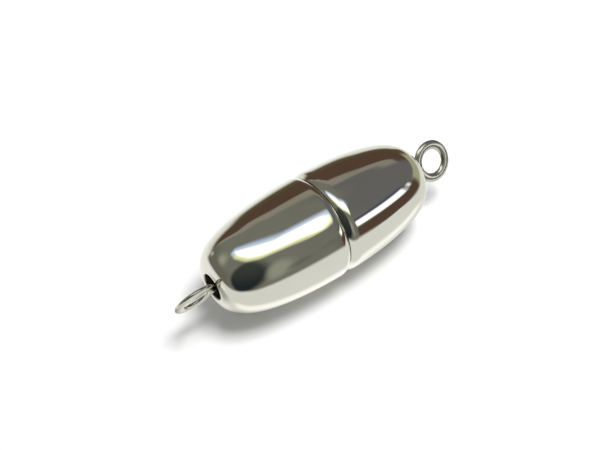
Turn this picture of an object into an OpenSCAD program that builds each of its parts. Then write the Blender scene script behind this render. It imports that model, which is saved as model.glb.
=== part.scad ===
// Screw clasp lying on its side: two hollow turned halves that screw together, and a wire loop
// that swivels in the end hole of each half.
// Frame: X runs along the clasp's axis, the socket half at -X and the stud half at +X, Z is up,
// and the clasp lies on the plane z = 0. The origin is under the middle of its whole length.

/* [Body] */
// Outside diameter at the widest place, beside the seam, in mm
body_d = 8; // [6:0.1:12]
// Length of the socket half from the seam to its end face, in mm
socket_half_l = 9.3; // [6:0.05:14]
// Length of the stud half from the seam to its end face, in mm
stud_half_l = 8.95; // [6:0.05:14]
// How far beyond its end face a half's outline would close, in mm
dome_over = 0.06; // [0.02:0.01:0.3]
// Fullness of the socket half's outline along its length
socket_full = 2.0; // [1.5:0.05:3]
// Fullness of the stud half's outline along its length
stud_full = 2.1; // [1.5:0.05:3]
// Bluntness of both outlines at the end
blunt = 3.85; // [2:0.05:6]
// Wall thickness of the half shells, in mm
wall = 0.5; // [0.3:0.05:1]
// Diameter of the hole in each end, in mm
end_hole_d = 2; // [1.2:0.1:3]
// Width of the chamfer round each end hole, in mm
end_chamfer = 0.1; // [0.05:0.01:0.3]

/* [Seam] */
// Gap between the two rims when the clasp is closed, in mm
seam_gap = 0.05; // [0.04:0.01:0.2]
// Width of the rolled rim of the socket half, in mm
socket_rim_w = 0.6; // [0.2:0.02:1]
// How far the socket half's rim turns in at the seam, in degrees
socket_rim_turn = 53; // [20:1:80]
// Width of the rolled rim of the stud half, in mm
stud_rim_w = 0.8; // [0.2:0.02:1]
// How far the stud half's rim turns in at the seam, in degrees
stud_rim_turn = 35; // [20:1:50]

/* [Screw] */
// Thread diameter over the stud's crests, in mm
thread_d = 4; // [3:0.1:5]
// Thread diameter at the stud's root, in mm
thread_core_d = 3.3; // [2.4:0.1:4.6]
// Pitch of the thread, in mm for each turn
thread_pitch = 0.7; // [0.5:0.05:1]
// Radial clearance between stud and socket, in mm
thread_gap = 0.08; // [0.05:0.01:0.15]
// How far the stud reaches into the socket half, in mm
stud_reach = 3; // [2:0.1:5]
// How far the socket's tube reaches into its half, in mm
socket_reach = 3.4; // [2.5:0.1:6]
// Outside diameter of the socket's tube, in mm
socket_tube_d = 5; // [4.5:0.1:6.5]
// Diameter of the collar at the stud's root, inside its half, in mm
collar_d = 5; // [4:0.1:6]
// Length of the collar at the stud's root, in mm
collar_l = 1.8; // [0.5:0.1:3]
// Depth of both web plates inside the rims, in mm
web_inset = 0.35; // [0.2:0.05:1]
// Thickness of both web plates, in mm
web_t = 0.6; // [0.4:0.05:1.2]

/* [Loops] */
// Outside diameter of each loop, in mm
loop_d = 3.3; // [2.6:0.05:5]
// Width of the loops' oval wire across the ring, in mm
wire_w = 0.72; // [0.5:0.02:1]
// Thickness of the loops' oval wire, in mm
wire_t = 0.4; // [0.3:0.02:0.8]
// Diameter of the shank in the end hole, in mm
shank_d = 0.52; // [0.4:0.02:1]
// Diameter of the retaining head inside the shell, in mm
head_d = 2.7; // [2.3:0.1:4]
// Thickness of the retaining head, in mm
head_t = 0.55; // [0.3:0.05:1]
// Distance from the loop's centre to the outer face of its head, in mm
loop_to_head = 2.65; // [2:0.05:4]
// How far the near loop's centre lies beyond the seam as photographed, in mm
near_loop_x = 10.75; // [9:0.05:14]
// How far the far loop's centre lies beyond the seam as photographed, in mm
far_loop_x = 10.95; // [9:0.05:14]
// How far the near loop is turned about the clasp's axis, in degrees
near_loop_turn = 110; // [0:1:180]
// How far the far loop is turned about the clasp's axis, in degrees
far_loop_turn = 55; // [0:1:180]
// How far both loops hang to the side in their loose holes, in mm
loop_side = 0.15; // [0:0.05:0.3]

/* [Hidden] */
$fn = 96;
body_r = body_d / 2;
axis_z = body_r;
seam_x = (near_loop_x - far_loop_x) / 2;
inner_r = body_r - wall;
outline_steps = 36;
inner_steps = 20;
rim_steps = 6;
// How far a web plate's edge reaches into the shell's wall
web_bite = 0.1;
web_d = 2 * (inner_r + web_bite);
// Where a shell's inside starts, measured from the seam
inside_start = 0.03;
// Where the crest ends, the core starts and the core ends, as shares of the pitch
crest_end = 0.2;
core_start = 0.5;
core_end = 0.7;
// How much wider the socket's groove is than the stud's crest on each side, as a share of the pitch
groove_over = 0.05;
thread_columns = 24;
thread_rows = 4;
thread_turns = 9;
thread_start = -5.25;
eye_land = 0.05;
wire_steps = 32;
head_round = 0.15;
// How far a turned shell's start line lies from its lowest line, in degrees
start_turn = 2.2;

shell_color = [0.82, 0.81, 0.78];
loop_color = [0.80, 0.79, 0.76];

// A half's outline, as [radius, distance from the seam], from distance d0 to distance d1.
// radius^blunt / r^blunt + distance^full / l^full = 1
function angle_at(d, l, full) = asin(pow(min(1, d / l), full / 2));
function outline(r, l, full, d0, d1, steps) =
    let (a0 = angle_at(d0, l, full), a1 = angle_at(d1, l, full))
    [for (i = [0 : steps])
        let (a = a0 + (a1 - a0) * i / steps)
        [r * pow(cos(a), 2 / blunt), l * pow(sin(a), 2 / full)]];

// A rim that rolls inwards from the outline to the seam face, as points from the face outwards
function outline_r(l, full, d) = body_r * pow(1 - pow(d / l, full), 1 / blunt);
function rolled_rim(w, turn, l, full) =
    let (roll_r = w / sin(turn))
    [for (i = [0 : rim_steps - 1])
        let (a = turn * (1 - i / rim_steps), d = seam_gap / 2 + w - roll_r * sin(a))
        [outline_r(l + dome_over, full, d) - roll_r * (1 - cos(a)), d]];

// Cross-section of a hollow half: rim, outside, hole with its chamfer, inside
module half_section(l, full, rim_w, rim_turn) {
    rim = rolled_rim(rim_w, rim_turn, l, full);
    outside = outline(body_r, l + dome_over, full, seam_gap / 2 + rim_w, l, outline_steps);
    inside = outline(inner_r, l + dome_over - wall, full, inside_start, l - wall, inner_steps);
    hole_r = end_hole_d / 2;
    polygon(concat(
        [[inner_r, seam_gap / 2]],
        rim,
        outside,
        [[hole_r + end_chamfer, l], [hole_r, l - end_chamfer], [hole_r, l - wall]],
        [for (i = [inner_steps : -1 : 0]) inside[i]]
    ));
}

module half_shell(l, full, rim_w, rim_turn) {
    rotate_extrude()
        half_section(l, full, rim_w, rim_turn);
}

// Threaded rod along +Z from z = 0: rows of points follow the helix, so the crest keeps its height
module thread_rod(core_r, crest_r, widen) {
    last = thread_rows * thread_turns;
    row_at = [-widen, crest_end + widen, core_start + widen, core_end - widen];
    row_r = [crest_r, crest_r, core_r, core_r];
    side = [for (i = [0 : thread_columns - 1], j = [0 : last])
        let (
            a = 360 * i / thread_columns,
            k = j % thread_rows,
            z = thread_pitch * (floor(j / thread_rows) + row_at[k] + i / thread_columns)
        )
        [row_r[k] * cos(a), row_r[k] * sin(a), z]];
    low = len(side);
    high = low + 1;
    stride = last + 1;
    end = thread_columns - 1;
    walls = [for (i = [0 : end - 1], j = [0 : last - 1], half = [0, 1])
        let (a = i * stride + j, b = (i + 1) * stride + j)
        half == 0 ? [a, a + 1, b + 1] : [a, b + 1, b]];
    closing = [for (j = [0 : last - thread_rows - 1], half = [0, 1])
        let (a = end * stride + j, b = j + thread_rows)
        half == 0 ? [a, a + 1, b + 1] : [a, b + 1, b]];
    low_rim = concat(
        [for (i = [0 : end]) i * stride],
        [for (j = [thread_rows : -1 : 1]) j]
    );
    high_rim = concat(
        [for (i = [0 : end]) i * stride + last],
        [for (j = [last - 1 : -1 : last - thread_rows]) end * stride + j]
    );
    polyhedron(
        points = concat(side, [[0, 0, 0], [0, 0, thread_pitch * (thread_turns + 1)]]),
        faces = concat(
            walls,
            closing,
            [for (i = [0 : len(low_rim) - 1]) [low, low_rim[i], low_rim[(i + 1) % len(low_rim)]]],
            [for (i = [0 : len(high_rim) - 1]) [high, high_rim[(i + 1) % len(high_rim)], high_rim[i]]]
        )
    );
}

module place() {
    translate([seam_x, 0, axis_z])
        children();
}

module to_near() {
    rotate([0, -90, 0])
        children();
}

module to_far() {
    rotate([0, 90, 0])
        children();
}

module socket_shell() {
    color(shell_color)
    place() {
        to_near()
            rotate([0, 0, 180 + start_turn])
                half_shell(socket_half_l, socket_full, socket_rim_w, socket_rim_turn);
        difference() {
            union() {
                translate([-web_inset, 0, 0])
                    to_near()
                        cylinder(d = web_d, h = web_t);
                translate([-web_inset, 0, 0])
                    to_near()
                        cylinder(d = socket_tube_d, h = socket_reach - web_inset);
            }
            translate([thread_start, 0, 0])
                to_far()
                    thread_rod(thread_core_d / 2 + thread_gap, thread_d / 2 + thread_gap, groove_over);
        }
    }
}

module stud_shell() {
    color(shell_color)
    place() {
        to_far()
            rotate([0, 0, -start_turn])
                half_shell(stud_half_l, stud_full, stud_rim_w, stud_rim_turn);
        translate([web_inset, 0, 0])
            to_far()
                cylinder(d = web_d, h = web_t);
        translate([web_inset, 0, 0])
            to_far()
                cylinder(d = collar_d, h = web_t + collar_l);
        intersection() {
            translate([thread_start, 0, 0])
                to_far()
                    thread_rod(thread_core_d / 2, thread_d / 2, 0);
            translate([-stud_reach, 0, 0])
                to_far()
                    cylinder(d = collar_d, h = stud_reach + web_inset + web_t / 2);
        }
    }
}

// A loop with its centre at the origin, its plane across Z, its shank and head along +X
module loop_piece() {
    ring_r = (loop_d - wire_w) / 2;
    wire = [for (i = [0 : wire_steps - 1])
        let (a = 360 * i / wire_steps)
        [ring_r + wire_w / 2 * cos(a), wire_t / 2 * sin(a)]];
    difference() {
        union() {
            rotate_extrude()
                polygon(wire);
            translate([ring_r, 0, 0])
                sphere(d = shank_d);
            translate([ring_r, 0, 0])
                rotate([0, 90, 0])
                    cylinder(d = shank_d, h = loop_to_head + head_t / 2 - ring_r);
            translate([loop_to_head, 0, 0])
                rotate([0, 90, 0])
                    rotate_extrude()
                        polygon([
                            [0, 0],
                            [head_d / 2 - head_round, 0],
                            [head_d / 2, head_round],
                            [head_d / 2, head_t - head_round],
                            [head_d / 2 - head_round, head_t],
                            [0, head_t]
                        ]);
        }
        translate([0, 0, -wire_t])
            cylinder(r = ring_r - wire_w / 2 + eye_land, h = 2 * wire_t);
    }
}

module near_loop() {
    color(loop_color)
    place()
        translate([-near_loop_x, -loop_side, 0])
            rotate([near_loop_turn, 0, 0])
                loop_piece();
}

module far_loop() {
    color(loop_color)
    place()
        translate([far_loop_x, -loop_side, 0])
            rotate([far_loop_turn, 0, 0])
                mirror([1, 0, 0])
                    loop_piece();
}

socket_shell();
stud_shell();
near_loop();
far_loop();
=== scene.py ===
import math

import bmesh
import bpy
from mathutils import Matrix, Vector


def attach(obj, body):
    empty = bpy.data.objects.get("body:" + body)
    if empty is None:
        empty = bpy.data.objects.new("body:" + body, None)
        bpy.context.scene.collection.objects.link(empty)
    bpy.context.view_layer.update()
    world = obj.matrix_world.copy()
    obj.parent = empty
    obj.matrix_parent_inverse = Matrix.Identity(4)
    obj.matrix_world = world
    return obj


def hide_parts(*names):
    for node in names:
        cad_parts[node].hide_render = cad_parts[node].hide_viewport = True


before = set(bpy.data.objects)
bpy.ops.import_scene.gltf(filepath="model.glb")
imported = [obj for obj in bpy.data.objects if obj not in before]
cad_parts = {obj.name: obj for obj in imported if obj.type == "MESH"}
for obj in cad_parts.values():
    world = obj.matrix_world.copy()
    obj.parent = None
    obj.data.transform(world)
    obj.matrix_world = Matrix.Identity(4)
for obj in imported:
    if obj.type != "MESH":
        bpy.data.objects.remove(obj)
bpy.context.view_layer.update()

MM = 0.001

# Sizes of the part, in mm, as in its construction. Only the closed seam is drawn finer.
BODY_R = 4.0
AXIS_Z = BODY_R
SEAM_X = -0.1
WALL = 0.5
INNER_R = BODY_R - WALL
DOME_OVER = 0.06
BLUNT = 3.85
SEAM_GAP = 0.02
HOLE_R = 1.0
HOLE_CHAMFER = 0.1
WEB_INSET = 0.35
WEB_T = 0.6
WEB_FACE_R = 2.3
RIM_STEP = 0.03
SOCKET = {"length": 9.3, "full": 2.0, "rim_w": 0.6, "rim_turn": 53}
STUD = {"length": 8.95, "full": 2.1, "rim_w": 0.8, "rim_turn": 35}
SOCKET_REACH = 3.4
SOCKET_TUBE_R = 2.5
COLLAR_R = 2.5
COLLAR_L = 1.8
STUD_REACH = 3.0
STUD_TIP_ROUND = 0.3
CREST_R = 2.0
CORE_R = 1.65
PITCH = 0.7
THREAD_START = -5.25
CREST_END = 0.2
CORE_START = 0.5
CORE_END = 0.7
THREAD_GAP = 0.08
THREAD_WIDEN = 0.05
LEAD_IN = {"depth": 0.12, "slope": 1.3}
LOOP_R = 1.65
WIRE_W = 0.72
WIRE_T = 0.4
SHANK_R = 0.26
HEAD_R = 1.35
HEAD_T = 0.55
HEAD_ROUND = 0.15
SHANK_FILLET = 0.05
# The length of shank that shows beyond the ring, and over which it then turns rough and painted dark as
# shade
SHANK_SEEN = 0.9
SHANK_FADE = 0.4
LOOP_TO_HEAD = 2.65
LOOP_SIDE = -0.15
NEAR_LOOP = {"x": -10.75, "turn": 110, "towards": 1}
FAR_LOOP = {"x": 10.95, "turn": 55, "towards": -1}

# How finely the meshes are divided, and a step between two rows that makes a crisp edge
COLUMNS = 160
OUTLINE_ROWS = 90
INNER_ROWS = 24
RIM_ROWS = 12
CHAMFER_ROWS = 4
THREAD_ROW = 0.05
LOOP_AROUND = 112
LOOP_ACROSS = 32
SHANK_COLUMNS = 48
SHANK_ROW = 0.1
CRISP = 0.02

# A row of a turned mesh is (distance from the seam, radius, inside). Inside is 0 on the polished outside
# and rises to 1 where the metal is rougher and painted dark as shade, in the seam gap, the hole and the
# hollow.


# Small helpers for meshes and shapes


def smooth(t):
    """0 below 0 and 1 above 1, with a soft rise between."""
    t = min(max(t, 0), 1)
    return t * t * (3 - 2 * t)


def outline(radius, length, full, d0, d1, rows):
    """Points (distance from the seam, radius) of a half's outline, closest together at the end."""
    a0 = math.asin(min(1, d0 / length) ** (full / 2))
    a1 = math.asin(min(1, d1 / length) ** (full / 2))
    points = []
    for i in range(rows + 1):
        a = a0 + (a1 - a0) * i / rows
        points.append((length * math.sin(a) ** (2 / full), radius * math.cos(a) ** (2 / BLUNT)))
    return points


def thread_radius(x, angle, core, crest, widen):
    """Radius of the helix at a distance x from the seam along the axis and at an angle about it."""
    phase = ((x - THREAD_START) / PITCH - angle / (2 * math.pi) + widen) % 1
    crest_end, root_start, root_end = CREST_END + 2 * widen, CORE_START + 2 * widen, CORE_END
    if phase < crest_end:
        return crest
    if phase < root_start:
        return crest + (core - crest) * smooth((phase - crest_end) / (root_start - crest_end))
    if phase < root_end:
        return core
    return core + (crest - core) * smooth((phase - root_end) / (1 - root_end))


def rolled_rim(half):
    """Points of a rim that rolls inwards from the outline to the seam face, from the face outwards."""
    turn = math.radians(half["rim_turn"])
    roll_r = half["rim_w"] / math.sin(turn)
    length = half["length"] + DOME_OVER
    rows = []
    for i in range(RIM_ROWS):
        a = turn * (1 - i / RIM_ROWS)
        d = SEAM_GAP / 2 + half["rim_w"] - roll_r * math.sin(a)
        radius = BODY_R * (1 - (d / length) ** half["full"]) ** (1 / BLUNT)
        rows.append((d, radius - roll_r * (1 - math.cos(a))))
    return rows


def shell_rows(half):
    """Rows from the rim's inner edge over the outside and the hole to the web's inner face."""
    length, full = half["length"], half["full"]
    rim = rolled_rim(half)
    # The third numbers paint shade: the seam gap's face and the hole and inner walls darken, while the
    # outside stays 0.
    rows = [(SEAM_GAP / 2, INNER_R, 0.4), (SEAM_GAP / 2, rim[0][1] - CRISP, 0.15)]
    rows += [(d, r, 0) for d, r in rim]
    rim_end = SEAM_GAP / 2 + half["rim_w"]
    outer = outline(BODY_R, length + DOME_OVER, full, rim_end, length, OUTLINE_ROWS)
    rows += [(d, r, 0) for d, r in outer]
    for i in range(CHAMFER_ROWS + 1):
        a = math.pi / 2 * i / CHAMFER_ROWS
        d = length - HOLE_CHAMFER * (1 - math.cos(a))
        rows.append((d, HOLE_R + HOLE_CHAMFER * (1 - math.sin(a)), i / 6))
    rows += [(length - HOLE_CHAMFER - CRISP, HOLE_R, 1), (length - WALL, HOLE_R, 1)]
    web_end = WEB_INSET + WEB_T
    inner = outline(INNER_R, length + DOME_OVER - WALL, full, web_end, length - WALL, INNER_ROWS)
    rows += [(d, r, 1) for d, r in reversed(inner)]
    return rows


def join_rings(bm, a, b):
    """Faces between two neighbouring rings. A ring of one point closes an end."""
    count = max(len(a), len(b))
    for k in range(count):
        n = (k + 1) % count
        if len(a) == 1:
            bm.faces.new((a[0], b[n], b[k]))
        elif len(b) == 1:
            bm.faces.new((a[k], a[n], b[0]))
        else:
            bm.faces.new((a[k], a[n], b[n], b[k]))


def revolve(name, rows, sign, closed):
    """A turned mesh about the clasp's axis.

    A row's radius is a number or a function of (distance, angle).
    """
    bm = bmesh.new()
    inside = bm.verts.layers.float.new("inside")
    rings = []
    for d, r, dull_and_shade in rows:
        x = SEAM_X + sign * d
        if r == 0:
            v = bm.verts.new((x * MM, 0, AXIS_Z * MM))
            v[inside] = dull_and_shade
            rings.append([v])
            continue
        ring = []
        for k in range(COLUMNS):
            a = 2 * math.pi * k / COLUMNS
            radius = r(sign * d, a) if callable(r) else r
            place = Vector((x, radius * math.sin(a), AXIS_Z - radius * math.cos(a)))
            v = bm.verts.new(place * MM)
            v[inside] = dull_and_shade
            ring.append(v)
        rings.append(ring)
    for a, b in zip(rings, rings[1:] + rings[:1] if closed else rings[1:]):
        join_rings(bm, a, b)
    bmesh.ops.recalc_face_normals(bm, faces=bm.faces)
    return finish_mesh(name, bm)


def finish_mesh(name, bm, sharp=35):
    """An object with smooth faces, apart from edges that turn by more than the angle sharp."""
    mesh = bpy.data.meshes.new(name)
    bm.to_mesh(mesh)
    bm.free()
    mesh.polygons.foreach_set("use_smooth", [True] * len(mesh.polygons))
    mesh.set_sharp_from_angle(angle=math.radians(sharp))
    obj = bpy.data.objects.new(name, mesh)
    bpy.context.scene.collection.objects.link(obj)
    return obj


# The two half shells with their threaded pieces


def female(x, angle):
    """Radius of the socket's thread."""
    return thread_radius(x, angle, CORE_R + THREAD_GAP, CREST_R + THREAD_GAP, THREAD_WIDEN)


def male(x, angle):
    """Radius of the stud's thread, which tapers at its tip."""
    lead_in = CORE_R - LEAD_IN["depth"] + (x + STUD_REACH) * LEAD_IN["slope"]
    return min(thread_radius(x, angle, CORE_R, CREST_R, 0), lead_in)


def steps(start, end, step):
    """Evenly spaced values from start to end, about a step apart."""
    count = max(1, round(abs(end - start) / step))
    return [start + (end - start) * i / count for i in range(count + 1)]


def web_rows(inside):
    """The web's outer face, from past the thread to the shell's wall, and the wall up to the rim."""
    # inside sets the painted shade on the web and the wall, which is lighter near the rim.
    rows = [(WEB_INSET, r, inside) for r in (WEB_FACE_R, INNER_R - CRISP)]
    return rows + [(WEB_INSET - CRISP, INNER_R, inside), (SEAM_GAP / 2 + RIM_STEP, INNER_R, 0.4)]


def make_socket_shell():
    # The thread, the web and the tube are darkened with painted shade by their third numbers.
    rows = [(d, female, 0.9) for d in steps(SOCKET_REACH, WEB_INSET, THREAD_ROW)]
    rows += web_rows(0.6)
    rows += shell_rows(SOCKET)
    rows += [(WEB_INSET + WEB_T, SOCKET_TUBE_R, 1), (SOCKET_REACH, SOCKET_TUBE_R, 1)]
    return revolve("socket_half_turned", rows, -1, True)


def make_stud_shell():
    # The stud's thread is darkened a little with painted shade, its web more and its collar fully.
    rows = [(-STUD_REACH, 0, 0.2), (-STUD_REACH, CORE_R - STUD_TIP_ROUND, 0.2)]
    rows += [(d, male, 0.2) for d in steps(-STUD_REACH, WEB_INSET, THREAD_ROW)]
    rows += web_rows(0.5)
    rows += shell_rows(STUD)
    collar_end = WEB_INSET + WEB_T + COLLAR_L
    rows += [(WEB_INSET + WEB_T, COLLAR_R, 1), (collar_end, COLLAR_R, 1), (collar_end, 0, 1)]
    return revolve("stud_half_turned", rows, 1, False)


# The wire loops with their shanks and retaining heads


def make_loop(name, loop):
    """A ring of flattened wire with its shank and head, along the clasp's axis."""
    bm = bmesh.new()
    inside = bm.verts.layers.float.new("inside")
    turn = math.radians(loop["turn"])
    side = Vector((0, math.cos(turn), math.sin(turn)))
    normal = Vector((0, -math.sin(turn), math.cos(turn)))
    along = Vector((loop["towards"], 0, 0))
    centre = Vector((SEAM_X + loop["x"], LOOP_SIDE, AXIS_Z))
    ring_r = LOOP_R - WIRE_W / 2
    ring_end = ring_r + WIRE_W / 2
    rings = []
    for i in range(LOOP_AROUND):
        a = 2 * math.pi * i / LOOP_AROUND
        out = along * math.cos(a) + side * math.sin(a)
        ring = []
        for k in range(LOOP_ACROSS):
            b = 2 * math.pi * k / LOOP_ACROSS
            p = centre + out * (ring_r + WIRE_W / 2 * math.cos(b)) + normal * WIRE_T / 2 * math.sin(b)
            ring.append(bm.verts.new(p * MM))
        rings.append(ring)
    for a, b in zip(rings, rings[1:] + rings[:1]):
        join_rings(bm, a, b)
    # The shank and the head as (distance from the loop's centre, radius)
    profile = [
        (ring_r - SHANK_R * math.cos(t), SHANK_R * math.sin(t))
        for t in (math.pi / 12 * i for i in range(6))
    ]
    profile += [(ring_r, SHANK_R), (ring_end + SHANK_ROW, SHANK_R)]
    face, back = LOOP_TO_HEAD, LOOP_TO_HEAD + HEAD_T
    flat_r = HEAD_R - HEAD_ROUND
    profile += [(face - SHANK_FILLET, SHANK_R), (face, SHANK_R + SHANK_FILLET), (face, flat_r)]
    profile += [
        (face + HEAD_ROUND * (1 - math.cos(t)), flat_r + HEAD_ROUND * math.sin(t))
        for t in (0.5, 1.0, math.pi / 2)
    ]
    profile += [
        (back - HEAD_ROUND * (1 - math.sin(t)), flat_r + HEAD_ROUND * math.cos(t))
        for t in (0, 0.5, 1.0)
    ]
    profile += [(back, flat_r), (back, 0)]
    rows = []
    for d, r in profile:
        # Past the length that shows, the shank turns rough and is painted dark as shade inside the hole.
        dull_and_shade = smooth((d - ring_end - SHANK_SEEN) / SHANK_FADE)
        row = []
        for k in range(SHANK_COLUMNS if r else 1):
            a = 2 * math.pi * k / SHANK_COLUMNS
            out = side * math.cos(a) + normal * math.sin(a)
            v = bm.verts.new((centre + along * d + out * r) * MM)
            v[inside] = dull_and_shade
            row.append(v)
        rows.append(row)
    for a, b in zip(rows, rows[1:]):
        join_rings(bm, a, b)
    bmesh.ops.recalc_face_normals(bm, faces=bm.faces)
    return finish_mesh(name, bm)


# Materials


# Colour outside, the colour inside that painted shade darkens to, roughness outside, and depth of the
# polishing marks in m
SHELL_SILVER = {"base": (0.68, 0.68, 0.61), "shaded_inside_colour": (0.2, 0.19, 0.17), "rough": 0.015, "marks": 0.000002}
WIRE_SILVER = {"base": (0.56, 0.56, 0.49), "shaded_inside_colour": (0.3, 0.29, 0.26), "rough": 0.2, "marks": 0.000004}
# What the silver's colour is multiplied by where it is faintly tarnished
TARNISH = (0.97, 0.965, 0.94)
SMUDGE_ROUGH = 0.035
DULL_ROUGH = 0.45


def polished_silver(name, base, shaded_inside_colour, rough, marks):
    """Polished silver with faint tarnish, smudges and polishing marks, rougher inside and darkened there
    with painted shade.
    """
    mat = bpy.data.materials.new(name)
    mat.use_nodes = True
    nodes, links = mat.node_tree.nodes, mat.node_tree.links
    shader = nodes["Principled BSDF"]
    shader.inputs["Metallic"].default_value = 1
    coords = nodes.new("ShaderNodeTexCoord")

    def noise(scale, detail, stretch=None):
        node = nodes.new("ShaderNodeTexNoise")
        node.inputs["Scale"].default_value = scale
        node.inputs["Detail"].default_value = detail
        if stretch:
            mapping = nodes.new("ShaderNodeMapping")
            mapping.inputs["Scale"].default_value = stretch
            links.new(coords.outputs["Object"], mapping.inputs["Vector"])
            links.new(mapping.outputs["Vector"], node.inputs["Vector"])
        else:
            links.new(coords.outputs["Object"], node.inputs["Vector"])
        return node

    def ramp(source, low, high, start, end):
        node = nodes.new("ShaderNodeMapRange")
        node.inputs["From Min"].default_value = low
        node.inputs["From Max"].default_value = high
        node.inputs["To Min"].default_value = start
        node.inputs["To Max"].default_value = end
        links.new(source, node.inputs["Value"])
        return node.outputs["Result"]

    dull_and_shade = nodes.new("ShaderNodeAttribute")
    dull_and_shade.attribute_name = "inside"
    tarnish = noise(260, 3)
    colour = nodes.new("ShaderNodeMix")
    colour.data_type = "RGBA"
    colour.inputs["A"].default_value = (*base, 1)
    colour.inputs["B"].default_value = (*(b * t for b, t in zip(base, TARNISH)), 1)
    links.new(ramp(tarnish.outputs["Fac"], 0.4, 0.65, 0, 1), colour.inputs["Factor"])
    # Painted shade: the colour darkens towards the inside colour where the inside attribute rises.
    inside_shade_mix = nodes.new("ShaderNodeMix")
    inside_shade_mix.data_type = "RGBA"
    inside_shade_mix.inputs["B"].default_value = (*shaded_inside_colour, 1)
    links.new(colour.outputs["Result"], inside_shade_mix.inputs["A"])
    links.new(dull_and_shade.outputs["Fac"], inside_shade_mix.inputs["Factor"])
    links.new(inside_shade_mix.outputs["Result"], shader.inputs["Base Color"])
    smudge = noise(420, 4)
    polishing = noise(900, 2, (1, 9, 9))
    rough_sum = nodes.new("ShaderNodeMath")
    rough_sum.operation = "ADD"
    smudged = ramp(smudge.outputs["Fac"], 0.45, 0.75, rough, rough + SMUDGE_ROUGH)
    links.new(smudged, rough_sum.inputs[0])
    links.new(ramp(dull_and_shade.outputs["Fac"], 0, 0.2, 0, DULL_ROUGH), rough_sum.inputs[1])
    links.new(rough_sum.outputs[0], shader.inputs["Roughness"])
    bump = nodes.new("ShaderNodeBump")
    bump.inputs["Strength"].default_value = 0.1
    bump.inputs["Distance"].default_value = marks
    links.new(polishing.outputs["Fac"], bump.inputs["Height"])
    links.new(bump.outputs["Normal"], shader.inputs["Normal"])
    return mat


shell_silver = polished_silver("polished_silver", **SHELL_SILVER)
wire_silver = polished_silver("wire_silver", **WIRE_SILVER)

socket_half = make_socket_shell()
stud_half = make_stud_shell()
near_loop = make_loop("near_loop_wire", NEAR_LOOP)
far_loop = make_loop("far_loop_wire", FAR_LOOP)
for piece, node, body, mat, slot in (
    (socket_half, "socket_shell", "socket_half", shell_silver, "shell_metal"),
    (stud_half, "stud_shell", "stud_half", shell_silver, "shell_metal"),
    (near_loop, "near_loop", "near_loop", wire_silver, "loop_metal"),
    (far_loop, "far_loop", "far_loop", wire_silver, "loop_metal"),
):
    piece.data.materials.append(mat)
    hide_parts(node)
    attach(piece, body)


# Stage: a pale floor and white paper all round, then what only mirrors see

# Radii in m: the lit part of the floor, all of it, and the paper round it
FLOOR_NEAR = 0.024
FLOOR_FAR = 1.0
BACKDROP_R = 0.6
FLOOR_COLOUR = (0.86, 0.86, 0.86)
PAPER_GLOW = 1.05


def matt(name, colour, glow=0):
    """A matt material that may glow white."""
    mat = bpy.data.materials.new(name)
    mat.use_nodes = True
    shader = mat.node_tree.nodes["Principled BSDF"]
    shader.inputs["Base Color"].default_value = (*colour, 1)
    shader.inputs["Roughness"].default_value = 0.9
    shader.inputs["Specular IOR Level"].default_value = 0
    shader.inputs["Emission Color"].default_value = (1, 1, 1, 1)
    shader.inputs["Emission Strength"].default_value = glow
    return mat


def flat_ring(name, inner, outer, mat, parts=96):
    bm = bmesh.new()
    rings = []
    for radius in (outer, inner):
        turns = [2 * math.pi * k / parts for k in range(parts if radius else 1)]
        rings.append([bm.verts.new((radius * math.cos(a), radius * math.sin(a), 0)) for a in turns])
    join_rings(bm, *rings)
    obj = finish_mesh(name, bm)
    obj.data.materials.append(mat)
    obj.visible_glossy = False
    return obj


def make_backdrop(radius, mat, step=5):
    """White paper all round, seen only directly."""
    bm = bmesh.new()
    bmesh.ops.create_uvsphere(bm, u_segments=360 // step, v_segments=180 // step, radius=radius)
    obj = finish_mesh("backdrop", bm)
    obj.data.materials.append(mat)
    obj.visible_diffuse = obj.visible_glossy = obj.visible_shadow = obj.visible_transmission = False
    return obj


bright_paper = matt("bright_paper", (0, 0, 0), PAPER_GLOW)
floor_near = flat_ring("floor_near", 0, FLOOR_NEAR, matt("pale_floor", FLOOR_COLOUR))
floor_far = flat_ring("floor_far", FLOOR_NEAR, FLOOR_FAR, bright_paper)
floor_far.visible_diffuse = False
backdrop = make_backdrop(BACKDROP_R, bright_paper)

# What mirrors see round the clasp: colours of light, and shapes by direction. Azimuth 0 is towards -Y,
# and angles are in degrees.
GREY = (0.225, 0.222, 0.195)
RIGHT_GREY = (0.172, 0.169, 0.174)
LEFT_GREY = (0.18, 0.175, 0.145)
BROWN = (0.115, 0.07, 0.05)
OLIVE = (0.125, 0.095, 0.05)
TAN = (0.38, 0.335, 0.29)
DARK_BLUE = (0.07, 0.09, 0.16)
WINDOW = (1.7, 1.7, 1.75)
WINDOW_BLUE = (0.55, 0.6, 0.85)
WINDOW_END = (1.1, 1.1, 1.1)
OVAL_LOW = (0.02, 0.027, 0.033)
OVAL_HIGH = (0.055, 0.062, 0.058)
PALE_SPOT = (0.42, 0.43, 0.34)
SLIT = (0.62, 0.6, 0.5)
STRIP_WHITE = (1.9, 1.9, 1.85)
STRIP_WARM = (1.2, 1.25, 0.75)
STRIP_COOL = (0.8, 0.95, 1.35)
BEIGE = (0.52, 0.51, 0.35)
PALE = (0.95, 0.95, 0.92)
# Outline of the bright strip on the ceiling, as (x/z, y/z)
STRIP = [
    (-0.44, 0.34),
    (-0.36, 0.36),
    (-0.18, 0.15),
    (-0.03, -0.06),
    (0.08, -0.20),
    (0.24, -0.25),
    (0.42, -0.31),
    (0.52, -0.50),
    (0.55, -0.85),
    (0.50, -1.00),
    (0.42, -0.98),
    (0.23, -0.80),
    (0.03, -0.67),
    (-0.14, -0.57),
    (-0.33, -0.33),
    (-0.46, 0.08),
]
# A dark oval in front: azimuth, elevation, half width and half height in degrees
DARK_OVAL = (-38, 26, 32, 35)
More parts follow.
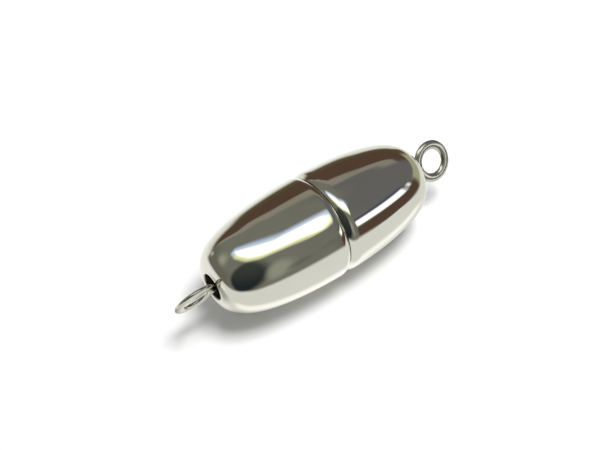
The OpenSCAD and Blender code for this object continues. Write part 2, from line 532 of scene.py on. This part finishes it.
# Soft patches beside it: azimuth, elevation, half width, half height, colour, strength
SOFT_PATCHES = [
    (-1, 18, 9, 20, (0.4, 0.41, 0.33), 0.85),
    (9, 10, 6, 6, (0.16, 0.158, 0.145), 0.6),
    (22, 12, 6, 5, (0.17, 0.165, 0.15), 0.5),
]


def mix(a, b, t):
    return tuple(p + (q - p) * t for p, q in zip(a, b))


def edge_distance(point, polygon):
    """Signed distance to a polygon, positive inside."""
    x, y = point
    inside = False
    best = 1e9
    for (x0, y0), (x1, y1) in zip(polygon, polygon[1:] + polygon[:1]):
        dx, dy = x1 - x0, y1 - y0
        t = min(max(((x - x0) * dx + (y - y0) * dy) / (dx * dx + dy * dy), 0), 1)
        best = min(best, math.hypot(x - x0 - dx * t, y - y0 - dy * t))
        if (y0 > y) != (y1 > y) and x < x0 + (y - y0) / dy * dx:
            inside = not inside
    return best if inside else -best


def window(value, low, high, soft):
    """1 between low and high, falling to 0 over soft on both sides."""
    return smooth((value - low) / soft + 0.5) * smooth((high - value) / soft + 0.5)


def turn_from(az, centre):
    """Angle from centre to az, between -180 and 180."""
    return (az - centre + 180) % 360 - 180


def dome_light(q):
    """Light that mirrors get from the direction q, built up from the furthest layer to the nearest."""
    az = math.degrees(math.atan2(q[0], -q[1]))
    el = math.degrees(math.asin(max(-1, min(1, q[2]))))

    def turned(centre, low, high, soft):
        return window(turn_from(az, centre), low, high, soft)

    colour = mix(GREY, RIGHT_GREY, turned(75, -45, 60, 30) * smooth((69 - el) / 14))
    colour = mix(colour, LEFT_GREY, turned(-120, -60, 45, 30) * window(el, -20, 28, 20))
    # Behind: a dark band with a paler band over it
    back_az = az % 360
    behind = smooth((back_az - 96) / 12) * smooth((202 - back_az) / 12)
    top = 41 - 12 * smooth((130 - back_az) / 20)
    top -= 7 * smooth((back_az - 162) / 14) + 20 * smooth((back_az - 180) / 16)
    colour = mix(colour, TAN, 0.75 * behind * window(el, top - 1, top + 13, 9))
    dark = mix(BROWN, OLIVE, smooth((14 - el) / 10))
    colour = mix(colour, dark, behind * smooth((top + 2.5 - el) / 5))
    # Low on the right: a dark band, and a bright window over it with a blue edge
    along = turn_from(az, 40)
    level = el + 0.16 * along
    colour = mix(colour, BROWN, window(along, -16, 34, 8) * window(el, -30, 9, 4))
    colour = mix(colour, DARK_BLUE, 0.9 * window(along, -13, 16, 6) * window(level, 19, 25, 4))
    colour = mix(colour, WINDOW, window(along, -13, 14, 4) * window(level, 9.8, 20, 3.5))
    colour = mix(colour, WINDOW_BLUE, window(along, 14, 17, 3) * window(level, 10, 17, 4))
    colour = mix(colour, WINDOW_END, window(along, 18, 22, 3) * window(level, 12, 19, 4))
    # In front: a dark oval and soft patches
    oval_az, oval_el, oval_wide, oval_high = DARK_OVAL
    off = math.hypot(turn_from(az, oval_az) / oval_wide, (el - oval_el) / oval_high)
    dark = mix(OVAL_LOW, OVAL_HIGH, smooth(el / 50))
    colour = mix(colour, dark, smooth(2.9 - 2.4 * off))
    for at_az, at_el, wide, high, tone, strength in SOFT_PATCHES:
        off = math.hypot(turn_from(az, at_az) / wide, (el - at_el) / high)
        colour = mix(colour, tone, strength * smooth(1.4 - 1.1 * off))
    # On the left: a pale spot and a bright slit
    spot = math.hypot(turn_from(az, -122) * 0.75, el - 40)
    colour = mix(colour, PALE_SPOT, smooth((20 - spot) / 20))
    colour = mix(colour, SLIT, turned(-150, -3.5, 3.5, 6) * window(el, 5, 14, 6))
    # Overhead: the bright strip, with a warm lower edge and a cool upper one
    if q[2] > 0.3:
        px, py = q[0] / q[2], q[1] / q[2]
        within = edge_distance((px, py), STRIP)
        tint = mix(STRIP_WARM, STRIP_COOL, smooth((px * 0.8 + py + 0.35) / 0.3))
        ends = 1 - smooth((px - 0.5) / 0.1)
        colour = mix(colour, tint, 0.9 * ends * smooth(within / 0.16 + 0.9))
        colour = mix(colour, STRIP_WHITE, smooth(within / 0.1))
    colour = mix(colour, BEIGE, 0.9 * turned(100, -29, 14, 10) * window(el, -12, 12, 5))
    # The pale surface all round, up to its edge
    edge = -7 + 10 * turned(178, -6, 30, 10) + 7 * turned(142, -16, 5, 6)
    edge -= 3 * turned(50, -20, 25, 14) + 2.5 * turned(20, -45, 50, 20)
    soft = 9 + 7 * turned(178, -30, 40, 20)
    return mix(colour, PALE, smooth((edge - el) / soft + 0.5))


def floor_light(x, y):
    """Light that mirrors get from the floor, by its place in mm."""
    front = smooth(-y / 2)
    tone = 1.1 - 0.17 * front
    # Painted reflections of the lit floor: a bright band in front of the clasp, a painted shadow by the
    # near loop, and painted shade under the body
    band = smooth(1.3 - abs(y + 4 + 1.1 * smooth(x / 4)) / 1.2)
    tone += 0.42 * front * smooth((13.5 - abs(x)) / 3) * band
    tone *= 1 - 0.55 * smooth(1.5 - math.hypot(x + 14.5, y - 1.5) / 3)
    return tone * (1 - 0.85 * smooth((10.5 - abs(x)) / 2.5) * smooth((3.2 - abs(y)) / 2.4))


def lit_mesh(name, verts, faces, light_of):
    """A mesh that only mirrors see, with a light of its own at each corner."""
    mesh = bpy.data.meshes.new(name)
    mesh.from_pydata(verts, [], faces)
    layer = mesh.color_attributes.new("light", "FLOAT_COLOR", "POINT")
    for v in mesh.vertices:
        layer.data[v.index].color = (*light_of(v.co), 1)
    mesh.materials.append(own_light)
    obj = bpy.data.objects.new(name, mesh)
    bpy.context.scene.collection.objects.link(obj)
    obj.visible_camera = obj.visible_diffuse = obj.visible_shadow = obj.visible_transmission = False
    return obj


def make_own_light():
    """A material that gives off the light stored at each corner."""
    mat = bpy.data.materials.new("own_light")
    mat.use_nodes = True
    nodes, links = mat.node_tree.nodes, mat.node_tree.links
    nodes.clear()
    out = nodes.new("ShaderNodeOutputMaterial")
    glow = nodes.new("ShaderNodeEmission")
    light = nodes.new("ShaderNodeAttribute")
    light.attribute_name = "light"
    links.new(light.outputs["Color"], glow.inputs["Color"])
    links.new(glow.outputs[0], out.inputs["Surface"])
    return mat


own_light = make_own_light()


def make_floor_glow(half=24, step=0.6, height=0.02):
    """The floor as mirrors see it, a hair above the real one, glowing with its light and painted
    shadows.
    """
    side = round(2 * half / step) + 1
    places = [-half + i * step for i in range(side)]
    verts = [(x * MM, y * MM, height * MM) for x in places for y in places]
    corners = [i * side + j for i in range(side - 1) for j in range(side - 1)]
    faces = [(c, c + side, c + side + 1, c + 1) for c in corners]

    def light_of(place):
        tone = floor_light(place.x / MM, place.y / MM)
        return tone, tone, tone * 0.985

    return lit_mesh("floor_glow", verts, faces, light_of)


def make_dome(radius=0.5, step=1):
    """The surroundings as mirrors see them, a ball with rows of equal elevation."""
    rows, columns = 180 // step, 360 // step
    verts = []
    for i in range(rows + 1):
        el = math.radians(-90 + i * step)
        out, up = radius * math.cos(el), radius * math.sin(el)
        for k in range(columns):
            az = math.radians(k * step)
            verts.append((out * math.sin(az), -out * math.cos(az), up))
    faces = []
    for low in range(0, rows * columns, columns):
        high = low + columns
        for k in range(columns):
            n = (k + 1) % columns
            faces.append((low + k, low + n, high + n, high + k))
    return lit_mesh("light_dome", verts, faces, lambda place: dome_light(place.normalized()))


dome = make_dome()
floor_glow = make_floor_glow()

# Lights: even light from the room and one softbox, with its place in m

ROOM_LIGHT = 0.35
SOFTBOX = {"place": (0.075, -0.06, 0.41), "size": 0.17, "watts": 1.75}

scene = bpy.context.scene
world = bpy.data.worlds.new("room")
scene.world = world
world.use_nodes = True
world.node_tree.nodes["Background"].inputs["Color"].default_value = (1, 1, 1, 1)
world.node_tree.nodes["Background"].inputs["Strength"].default_value = ROOM_LIGHT


def soft_light(name, place, size, watts):
    light = bpy.data.lights.new(name, "AREA")
    light.shape = "SQUARE"
    light.size = size
    light.energy = watts
    obj = bpy.data.objects.new(name, light)
    obj.location = place
    obj.rotation_euler = (-Vector(place)).to_track_quat("-Z", "Y").to_euler()
    obj.visible_glossy = False
    scene.collection.objects.link(obj)
    return obj


soft_light("softbox", **SOFTBOX)

# The camera stands where the photograph's stood. Distances are in mm, and the scale is at the seam.

ELEVATION = math.radians(50)
AZIMUTH = math.radians(-37)
DISTANCE = 65
PX_PER_MM = 13.70
FOCAL_PX = PX_PER_MM * DISTANCE
CENTRE_PX = (318.8, 225.0)
FRAME_PX = (600, 450)
SENSOR = 36

back = Vector(
    (
        math.sin(AZIMUTH) * math.cos(ELEVATION),
        -math.cos(AZIMUTH) * math.cos(ELEVATION),
        math.sin(ELEVATION),
    )
)
right = Vector((math.cos(AZIMUTH), math.sin(AZIMUTH), 0))
up = back.cross(right)
aside = (CENTRE_PX[0] - FRAME_PX[0] / 2) / PX_PER_MM
above = (FRAME_PX[1] / 2 - CENTRE_PX[1]) / PX_PER_MM
place = Vector((SEAM_X, 0, AXIS_Z)) + back * DISTANCE - right * aside - up * above
cam_data = bpy.data.cameras.new("camera")
cam_data.sensor_width = SENSOR
cam_data.lens = SENSOR * FOCAL_PX / FRAME_PX[0]
cam_data.clip_start = 0.001
cam_data.clip_end = 10
camera = bpy.data.objects.new("camera", cam_data)
stand = Matrix((right, up, back)).transposed().to_4x4()
stand.translation = place * MM
camera.matrix_world = stand
scene.collection.objects.link(camera)
scene.camera = camera
scene.view_settings.view_transform = "Standard"
